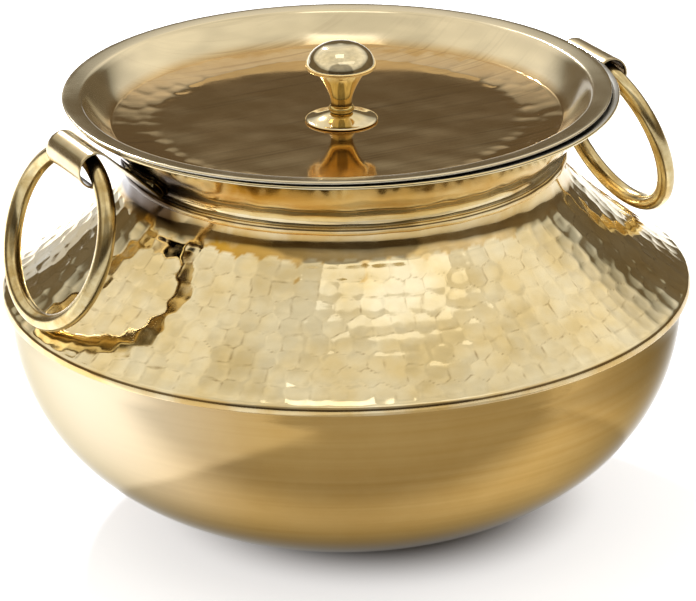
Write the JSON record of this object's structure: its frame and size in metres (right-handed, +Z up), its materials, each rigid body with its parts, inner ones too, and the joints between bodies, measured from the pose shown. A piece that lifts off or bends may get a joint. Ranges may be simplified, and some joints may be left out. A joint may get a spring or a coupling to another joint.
{
  "type": "stock pot",
  "caption": "Squat brass stock pot with a hammered shoulder, a dished lid with a turned knob and a ring handle on each side.",
  "frame": {"origin": "middle of the small flat that the bowl stands on, on the pot's own axis", "axes": "+Z up along the pot's axis, +X through the right lug, -X through the left lug, -Y the side nearest the camera, which stands 27 degrees round from -Y towards -X"},
  "size_m": [0.3214, 0.32, 0.2256],
  "materials": {
    "bowl_brass": "spun and satin polished",
    "body_brass": "hammered by hand and polished",
    "lid_brass": "polished with fine scratches",
    "knob_brass": "turned and polished",
    "handle_brass": "hand finished, slightly dull",
    "screw_steel": "zinc plated"
  },
  "bodies": {
    "pot": {"bowl": "bowl_brass", "upper_body": "body_brass", "left_lug": "handle_brass", "left_rivet_near": "handle_brass", "left_rivet_far": "handle_brass", "right_lug": "handle_brass", "right_rivet_near": "handle_brass", "right_rivet_far": "handle_brass"},
    "cover": {"lid": "lid_brass", "knob_foot": "knob_brass", "knob": "knob_brass", "knob_screw": "screw_steel", "knob_washer": "screw_steel"},
    "left_handle": {"left_ring": "handle_brass"},
    "right_handle": {"right_ring": "handle_brass"}
  },
  "joints": [
    {"name": "lid_lift", "type": "slide", "parent": "pot", "child": "cover", "axis": [0, 0, 1], "range_m": [0, 0.12]},
    {"name": "left_ring_swing", "type": "hinge", "parent": "pot", "child": "left_handle", "pos_m": [-0.132, 0, 0.193], "axis": [0, 1, 0], "range_deg": [0, 155]},
    {"name": "right_ring_swing", "type": "hinge", "parent": "pot", "child": "right_handle", "pos_m": [0.132, 0, 0.193], "axis": [0, -1, 0], "range_deg": [0, 155]}
  ]
}
